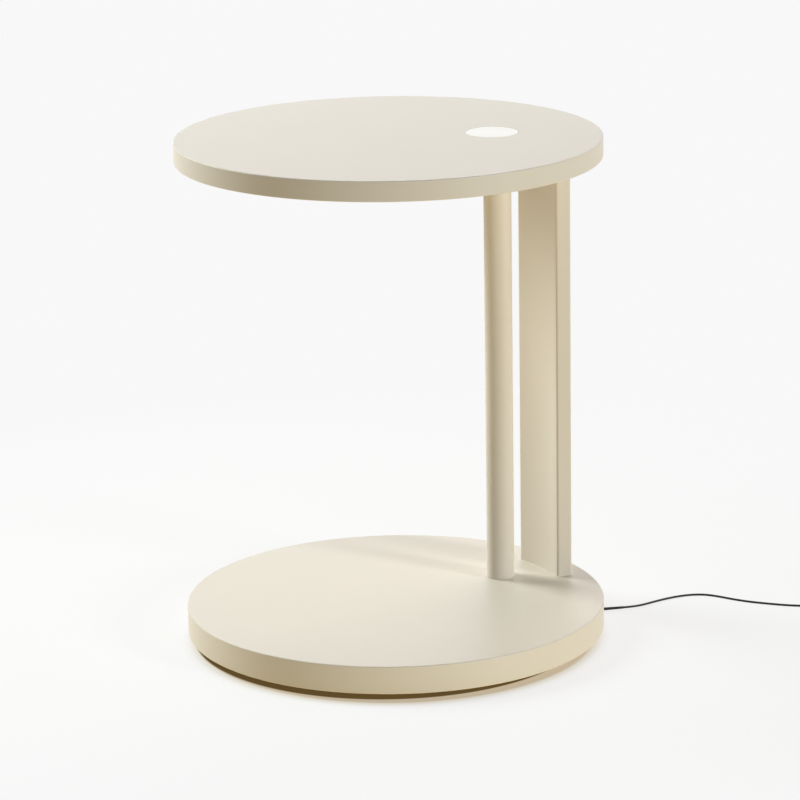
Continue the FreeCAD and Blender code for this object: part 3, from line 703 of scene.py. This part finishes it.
class TABLE_OT_post(Operator):
    """Round post, a tube between the boards"""

    bl_idname = "table.post"
    bl_label = "Post"

    def execute(self, context):
        low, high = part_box("post_tube")
        outer = span("post_tube", 0) / 2
        inner = outer - sizes().post_wall
        ease = sizes().post_edge
        profile = [
            (inner, low.z), (outer - ease, low.z), (outer, low.z + ease),
            (outer, high.z - ease), (outer - ease, high.z), (inner, high.z),
        ]
        bm = spun(profile, POST_STEPS, middle("post_tube"))
        piece("post", bm, finish(powder_coat), "table", ["post_tube"])
        return {"FINISHED"}


class TABLE_OT_upright(Operator):
    """Curved hollow upright that follows the boards' edge"""

    bl_idname = "table.upright"
    bl_label = "Curved upright"

    def execute(self, context):
        low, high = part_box("curved_upright")
        half = sizes().upright_half_angle
        inner, outer = sizes().upright_inner, sizes().upright_outer
        bm = arc_block(inner, outer, -half, half, low.z, high.z)
        corners = [
            edge for edge in bm.edges
            if rise(edge, 2) > SAME_PLACE and edge.calc_face_angle(0) > CORNER_ANGLE
        ]
        bevelled(bm, corners, sizes().upright_edge, segments=8)
        bm = carved(bm, *self.cutters(half, inner, outer, low.z - OVERRUN, high.z + OVERRUN))
        coat = finish(powder_coat)
        piece("upright", bm, coat, "table", ["curved_upright"])
        return {"FINISHED"}

    def cutters(self, half, inner, outer, low, high):
        """Three chambers and the two screw ports between them."""
        wall, port = sizes().upright_wall, sizes().upright_port
        reach = (inner + outer) / 2
        port_turn = sizes().upright_port_angle
        web_turn = (port + sizes().upright_web) / reach
        near, far = port_turn + web_turn, half - wall / reach
        chambers = ((web_turn - port_turn, port_turn - web_turn), (near, far), (-far, -near))
        shapes = []
        for start, end in chambers:
            shapes.append(arc_block(inner + wall, outer - wall, start, end, low, high))
        for turn in (-port_turn, port_turn):
            place = Vector((math.sin(turn), math.cos(turn), 0)) * reach
            shapes.append(drum(port, low, high, SMALL_STEPS, place))
        return shapes


class TABLE_OT_lens(Operator):
    """Opal press cap of the light"""

    bl_idname = "table.lens"
    bl_label = "Lens"

    def execute(self, context):
        low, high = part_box("light_lens")
        radius, wall, stem = sizes().lens_radius, sizes().lens_wall, sizes().lens_stem
        flange = span("light_lens", 0) / 2
        shoulder = high.z - sizes().lens_shoulder
        flange_low = shoulder - sizes().lens_flange
        ease = sizes().lens_edge
        rim = []
        for step in range(EDGE_STEPS + 1):
            turn = math.pi / 2 * step / EDGE_STEPS
            out, up = ease * math.sin(turn), ease * math.cos(turn)
            rim.append((radius - ease + out, high.z - ease + up))
        profile = [
            (0, high.z), *rim, (radius, shoulder), (flange, shoulder), (flange, flange_low),
            (radius - wall, flange_low), (radius - wall, high.z - wall),
            (stem, high.z - wall), (stem, low.z), (0, low.z),
        ]
        bm = spun(profile, LENS_STEPS, middle("light_lens"), close=False)
        piece("lens", bm, finish(opal_plastic), "light_button", ["light_lens"])
        return {"FINISHED"}


class TABLE_OT_feet(Operator):
    """Rubber pads under the base"""

    bl_idname = "table.feet"
    bl_label = "Feet"

    def execute(self, context):
        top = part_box("foot_pads")[1].z
        radius, cup, ease = sizes().foot_radius, sizes().foot_cup, sizes().foot_edge
        profile = [
            (0, top), (radius, top), (radius, ease),
            (radius - ease * 0.3, ease * 0.3), (radius - ease, 0),
            (cup + ease * 0.75, 0), (cup, ease), (0, ease),
        ]
        count = sizes().foot_count
        pads = []
        for index in range(count):
            turn = math.tau * (index + 0.5) / count
            place = Vector((math.sin(turn), math.cos(turn), 0)) * sizes().foot_ring
            pads.append(spun(profile, FOOT_STEPS, place, close=False))
        rubber = finish(pad_rubber)
        piece("feet", merged(*pads), rubber, "table", ["foot_pads"])
        return {"FINISHED"}


# Cord


def coil_place(radius, turn, height):
    """Place on the coil, at a turn counted from where the cord comes in."""
    angle = COIL_HEADING - math.pi / 2 + turn
    return COIL_CENTRE + Vector((radius * math.cos(angle), radius * math.sin(angle), height))


def coil_points():
    """Points of the coil's turns, whose layers spiral in and out and climb where they turn,
    and the place where the cord leaves it."""
    radius, height = COIL_OUTER, COIL_LOW
    stops = [(radius, height)]
    for layer in range(COIL_LAYERS):
        way = -1 if layer % 2 == 0 else 1
        for half_turn in range(COIL_HALF_TURNS):
            radius += way * COIL_PITCH / 2
            stops.append((radius, height))
        if layer < COIL_LAYERS - 1:
            height += COIL_LAYER
            stops.append((radius, height))
    stops.append((radius + COIL_PITCH / 2, height))
    stops.append((radius + COIL_PITCH, height))
    reach = 1 / math.cos(math.pi / COIL_STEPS / 2)
    points = []
    for index, ((near, low), (far, high)) in enumerate(zip(stops, stops[1:])):
        last = index == len(stops) - 2
        for step in range(COIL_STEPS // 2 if last else COIL_STEPS):
            share = (step + 0.5) / COIL_STEPS
            climb = (1 - math.cos(math.pi * share)) / 2
            turn = math.pi * (index + share)
            out = (near + (far - near) * share) * reach
            points.append(coil_place(out, turn, low + (high - low) * climb))
    end_turn = math.pi * (len(stops) - 1.5)
    end_radius = radius + COIL_PITCH * 0.75
    return points, coil_place(end_radius, end_turn, height)


def coil_entry():
    """The straight run into the coil."""
    way = Vector((math.cos(COIL_HEADING), math.sin(COIL_HEADING), 0))
    end = coil_place(COIL_OUTER, 0, COIL_LOW) - way * sizes().cord_diameter
    return [end - way * CORD_LAST_RUN, end]


def coil_exit():
    """Where the cord goes into the plug's sleeve, and which way."""
    way = Vector((-math.sin(COIL_HEADING), math.cos(COIL_HEADING), 0))
    return coil_points()[1] + way * sizes().cord_diameter, way


class TABLE_OT_cord(Operator):
    """Thin cord on the floor, its put-away coil, its gland and its plug"""

    bl_idname = "table.cord"
    bl_label = "Cord"

    def execute(self, context):
        points = CORD_ROUTE + coil_entry() + coil_points()[0] + [coil_exit()[0]]
        curve = bpy.data.curves.new("cord", "CURVE")
        curve.dimensions = "3D"
        spline = curve.splines.new("NURBS")
        spline.points.add(len(points) - 1)
        for point, place in zip(spline.points, points):
            point.co = (*place, 1)
        spline.order_u = 3
        spline.use_endpoint_u = True
        spline.resolution_u = 6
        curve.bevel_depth = sizes().cord_diameter / 2
        curve.bevel_resolution = 3
        curve.use_fill_caps = True
        curve.materials.append(finish(cord_jacket))
        cord = placed("cord", curve)
        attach(cord, "table")
        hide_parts("cord_lead", "cord_coil")
        gland = self.gland()
        plug = self.plug()
        return {"FINISHED"}

    def relief(self, tip, root, length, rings):
        """Tapered relief along +Z from the cord's end, smooth or cut by rings."""
        profile = [(0, 0), (tip, 0)]
        for ring in range(rings):
            pitch = length * RINGS_SPAN / rings
            start = length * RINGS_START + pitch * ring
            for share, depth in RING_SHAPE:
                place = start + pitch * share
                radius = tip + (root - tip) * place / length
                profile.append((radius - root * depth, place))
        profile += [(root, length), (0, length)]
        return spun(profile, SMALL_STEPS, close=False)

    def gland(self):
        """Gland under the base's edge, with its neck, collar and relief."""
        ends, exit_place = cord_ends(), CORD_ROUTE[0]
        inner, outer = ends.gland_inner, ends.gland_outer
        low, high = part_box("base_board")[0].z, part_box("cord_gland")[1].z
        body_place = Vector((0, (inner + outer) / 2, (low + high) / 2))
        body = block(ends.gland_width, outer - inner, high - low, body_place)
        bevelled(body, body.edges[:], ends.gland_edge, segments=2)
        neck_place = Vector((0, outer - ends.neck_length / 2, exit_place.z + ends.neck_height / 2))
        neck = block(ends.neck_width, ends.neck_length, ends.neck_height, neck_place)
        start, end = ends.relief_length, ends.relief_length + ends.collar_length
        radius = ends.collar_radius
        collar = [(0, start), (radius, start), (radius, end), (0, end)]
        exit_reach = Matrix.Translation((0, exit_place.to_2d().length, exit_place.z))
        inward = exit_reach @ Matrix.Rotation(math.pi / 2, 4, "X")
        whole = merged(
            body, neck,
            moved(self.relief(ends.relief_tip, ends.relief_root, start, 0), inward),
            moved(spun(collar, SMALL_STEPS, close=False), inward),
        )
        moved(whole, Matrix((OUTWARD.cross(UP), OUTWARD, UP)).transposed().to_4x4())
        black = finish(moulded_black)
        return piece("gland", whole, black, "table", ["cord_gland"])

    def plug(self):
        """Plug-in supply with its sleeve and pins."""
        ends = cord_ends()
        place, way = coil_exit()
        lie = Matrix.Translation(place) @ Matrix((way, UP.cross(way), UP)).transposed().to_4x4()
        onto_x = Matrix.Rotation(math.pi / 2, 4, "Y")
        sleeve = self.relief(
            ends.sleeve_tip, ends.sleeve_root, ends.sleeve_length, ends.sleeve_rings
        )
        case = block(ends.plug_length, ends.plug_width, 2 * place.z)
        long_edges = [edge for edge in case.edges if rise(edge, 0) > SAME_PLACE]
        bevelled(case, long_edges, ends.plug_corner, segments=6)
        end_edges = [edge for edge in case.edges if rise(edge, 0) < SAME_PLACE]
        bevelled(case, end_edges, ends.plug_edge, segments=3)
        onto_sleeve = Matrix.Translation((ends.sleeve_length + ends.plug_length / 2, 0, 0))
        radius, length, nose = ends.pin_radius, ends.pin_length, ends.pin_nose
        profile = [
            (0, 0), (radius, 0), (radius, length - nose), (radius * 0.85, length - nose * 0.4),
            (radius * 0.5, length), (0, length),
        ]
        pins = []
        for offset in (ends.pin_offset, -ends.pin_offset):
            face = Matrix.Translation((ends.sleeve_length + ends.plug_length, offset, 0))
            pins.append(moved(spun(profile, SMALL_STEPS, close=False), lie @ face @ onto_x))
        moved(sleeve, lie @ onto_x)
        moved(case, lie @ onto_sleeve)
        black, nickel = finish(moulded_black), finish(nickel_plate)
        return [
            piece("plug_sleeve", sleeve, black, "table", ["plug_relief"]),
            piece("plug_case", case, black, "table", ["plug_body"]),
            piece("plug_prongs", merged(*pins), nickel, "table", ["plug_pins"]),
        ]


class TABLE_OT_fittings(Operator):
    """Finishes of the plates, fasteners and inner pieces, which keep their CAD shapes"""

    bl_idname = "table.fittings"
    bl_label = "Fittings"

    def execute(self, context):
        dressed = {
            powder_coat: ["base_anchor_plate", "top_anchor_plate"],
            zinc_steel: [
                "base_plate_screws", "top_plate_screws", "upright_foot_screws",
                "upright_top_screws", "post_foot_bolt", "post_top_bolt", "post_foot_plug",
                "post_top_plug",
            ],
            turned_aluminium: ["light_housing"],
            circuit_mask: ["led_board", "lead_connector"],
            phosphor: ["led_chips"],
            moulded_black: ["switch_body", "switch_plunger"],
            pad_rubber: ["lead_grommet"],
            cord_jacket: ["inner_lead"],
            woven_band: ["cord_tie"],
        }
        for make, names in dressed.items():
            for name in names:
                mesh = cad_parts[name].data
                mesh.materials.clear()
                mesh.materials.append(finish(make))
        return {"FINISHED"}


class TABLE_OT_spring(Operator):
    """Spring that lifts the lens"""

    bl_idname = "table.spring"
    bl_label = "Spring"

    def execute(self, context):
        low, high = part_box("return_spring")
        axis = middle("return_spring")
        wire = sizes().spring_wire / 2
        turns = sizes().spring_turns
        steps = SPRING_STEPS * turns
        start = Matrix.Translation((high.x - wire, axis.y, low.z + wire))
        upright = Matrix.Rotation(math.pi / 2, 4, "X")
        bm = bmesh.new()
        bmesh.ops.create_circle(bm, segments=WIRE_STEPS, radius=wire, matrix=start @ upright)
        bmesh.ops.spin(
            bm, geom=bm.verts[:] + bm.edges[:], cent=axis, axis=UP, angle=math.tau * turns,
            steps=steps, dvec=(0, 0, (high.z - low.z - 2 * wire) / steps),
        )
        bmesh.ops.holes_fill(bm, edges=[edge for edge in bm.edges if edge.is_boundary])
        bmesh.ops.recalc_face_normals(bm, faces=bm.faces)
        steel = finish(zinc_steel)
        spring = piece("spring", bm, steel, "table", ["return_spring"])
        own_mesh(spring)
        return {"FINISHED"}


# Stage


class TABLE_OT_stage(Operator):
    """Floor, lamps and camera"""

    bl_idname = "table.stage"
    bl_label = "Stage"

    def execute(self, context):
        stage = context.scene.table_stage
        self.floor(stage)
        self.world(context, stage)
        for name, aim in LAMPS.items():
            self.lamp(stage, name, **aim)
        self.camera(context, stage)
        context.scene.view_settings.view_transform = "Standard"
        return {"FINISHED"}

    def seen_share(self, add):
        """1 for rays that show a surface: from the camera, or by reflection or through glass."""
        path = add("ShaderNodeLightPath").outputs
        total = path["Is Camera Ray"]
        for name in ("Is Glossy Ray", "Is Transmission Ray"):
            most = add("ShaderNodeMath", {0: total, 1: path[name]}, operation="MAXIMUM")
            total = most.outputs["Value"]
        return total

    def reach(self, add, place, centre, near, far):
        """0 to 1 from one distance to another from a centre on the floor."""
        shift = add("ShaderNodeMapping", {"Vector": place}, Location=-centre)
        length = add("ShaderNodeVectorMath", {0: shift.outputs["Vector"]}, operation="LENGTH")
        share = add(
            "ShaderNodeMapRange", {"Value": length.outputs["Value"]}, From_Min=near, From_Max=far
        )
        return share.outputs["Result"]

    def floor(self, stage):
        """Pale floor that shows the table's shadow, partly cast by the lamps and partly painted,
        and lights the table from below.
        """
        bm = bmesh.new()
        bmesh.ops.create_grid(bm, x_segments=1, y_segments=1, size=FLOOR_HALF)
        floor = placed("floor", meshed("floor", bm))
        material, add = new_material("pale_floor")
        place = add("ShaderNodeTexCoord").outputs["Object"]
        away = self.reach(add, place, Vector(), *LIT_FLOOR)
        shown = self.shown_floor(add, stage, place, away)
        level = stage.ground_lit
        lit = add("ShaderNodeBsdfDiffuse", Color=(level, level, level, 1))
        nearer = add("ShaderNodeMapRange", {"Value": away}, To_Min=stage.ground_near)
        even = add(
            "ShaderNodeEmission", {"Strength": nearer.outputs["Result"]},
            Color=(*stage.ground_even, 1),
        )
        bounce = add("ShaderNodeAddShader", {0: lit.outputs["BSDF"], 1: even.outputs["Emission"]})
        mix = add(
            "ShaderNodeMixShader", {0: self.seen_share(add), 1: bounce.outputs["Shader"], 2: shown}
        )
        add("ShaderNodeOutputMaterial", {"Surface": mix.outputs["Shader"]})
        floor.data.materials.append(material)

    def shown_floor(self, add, stage, place, away):
        """What shows of the floor: white, with a painted shade round the base and a painted shadow
        under its edge.
        """
        # Painted shade round the base, which also tints the floor's lit part
        painted_shade = add(
            "ShaderNodeValToRGB", {"Fac": self.reach(add, place, SHADE_CENTRE, *SHADE_EDGE)}
        )
        stops = painted_shade.color_ramp.elements
        stops[0].color, stops[1].color = SHADE_FIRST, SHADE_LAST
        for spot, colour in SHADE_BETWEEN:
            stops.new(spot).color = colour
        # Painted shadow: the floor turns dark brown under the base's edge
        edge = self.reach(add, place, PAINTED_CONTACT_CENTRE, *PAINTED_CONTACT_EDGE)
        contact = add(
            "ShaderNodeMix", {MIX_FACTOR: edge, MIX_B: painted_shade.outputs["Color"]}, data_type="RGBA"
        )
        contact.inputs[MIX_A].default_value = (*stage.contact, 1)
        tone = contact.outputs[MIX_RESULT]
        level = add(
            "ShaderNodeMapRange", {"Value": away},
            To_Min=stage.ground_white * stage.ground_near_white, To_Max=stage.ground_white,
        )
        white = add("ShaderNodeEmission", {"Color": tone, "Strength": level.outputs["Result"]})
        diffuse = add("ShaderNodeBsdfDiffuse", {"Color": tone})
        share = add("ShaderNodeMapRange", {"Value": away}, To_Min=stage.ground, To_Max=0)
        mix = add(
            "ShaderNodeMixShader",
            {0: share.outputs["Result"], 1: white.outputs["Emission"], 2: diffuse.outputs["BSDF"]},
        )
        return mix.outputs["Shader"]

    def world(self, context, stage):
        """Backdrop that shows white and gives no light."""
        world = bpy.data.worlds.new("studio")
        world.use_nodes = True
        tree = world.node_tree
        sockets = tree.nodes["Background"].inputs
        level = stage.ground_white
        sockets["Color"].default_value = (level, level, level, 1)
        tree.links.new(self.seen_share(adder(tree)), sockets["Strength"])
        context.scene.world = world

    def lamp(self, stage, name, turn, height, width, distance=0):
        """Soft light on the table, with its strength and colour from the stage."""
        light = bpy.data.lights.new(name + "_light", "AREA" if distance else "SUN")
        light.energy = getattr(stage, name)
        light.color = getattr(stage, name + "_colour")
        if distance:
            light.shape = "DISK"
            light.size = 2 * distance * math.tan(math.radians(width / 2))
        else:
            light.angle = math.radians(width)
        lamp = placed(name + "_light", light)
        azimuth = stage.camera_turn + math.radians(turn)
        up = math.radians(height)
        toward = Vector((
            math.sin(azimuth) * math.cos(up), -math.cos(azimuth) * math.cos(up), math.sin(up)
        ))
        lamp.location = LAMP_AIM + toward * distance
        lamp.rotation_euler = toward.to_track_quat("Z", "Y").to_euler()

    def camera(self, context, stage):
        data = bpy.data.cameras.new("camera")
        data.lens = stage.camera_lens
        data.sensor_width = 36
        data.clip_end = 100
        camera = placed("camera", data)
        level = Matrix.Rotation(math.pi / 2 - stage.camera_pitch, 4, "X")
        turn = Matrix.Rotation(stage.camera_turn, 4, "Z")
        roll = Matrix.Rotation(stage.camera_roll, 4, "Z")
        camera.matrix_world = Matrix.Translation(stage.camera_place) @ turn @ level @ roll
        context.scene.camera = camera


class TABLE_PT_panel(Panel):
    """Lists the table's pieces and their sizes, finishes and stage"""

    bl_idname = "TABLE_PT_panel"
    bl_label = "Side Table"
    bl_space_type = "VIEW_3D"
    bl_region_type = "UI"
    bl_category = "Side Table"

    def draw(self, context):
        layout = self.layout
        for name in GROUPS:
            group = getattr(context.scene, name)
            box = layout.box()
            for key in group.bl_rna.properties.keys():
                if key not in ("rna_type", "name"):
                    box.prop(group, key)
        for operator in OPERATORS:
            layout.operator(operator.bl_idname)


OPERATORS = (
    TABLE_OT_cord,
    TABLE_OT_base,
    TABLE_OT_top,
    TABLE_OT_post,
    TABLE_OT_upright,
    TABLE_OT_lens,
    TABLE_OT_feet,
    TABLE_OT_fittings,
    TABLE_OT_spring,
    TABLE_OT_stage,
)
GROUPS = {
    "table_sizes": TableSizes,
    "table_cord_ends": TableCordEnds,
    "table_finishes": TableFinishes,
    "table_stage": TableStage,
}


def register():
    for group in GROUPS.values():
        bpy.utils.register_class(group)
    for name, group in GROUPS.items():
        setattr(bpy.types.Scene, name, PointerProperty(type=group))
    for operator in OPERATORS:
        bpy.utils.register_class(operator)
    bpy.utils.register_class(TABLE_PT_panel)


def unregister():
    bpy.utils.unregister_class(TABLE_PT_panel)
    for operator in reversed(OPERATORS):
        bpy.utils.unregister_class(operator)
    for name, group in GROUPS.items():
        delattr(bpy.types.Scene, name)
        bpy.utils.unregister_class(group)


def main():
    register()
    for operator in OPERATORS:
        family, name = operator.bl_idname.split(".")
        getattr(getattr(bpy.ops, family), name)()


if __name__ == "__main__":
    main()
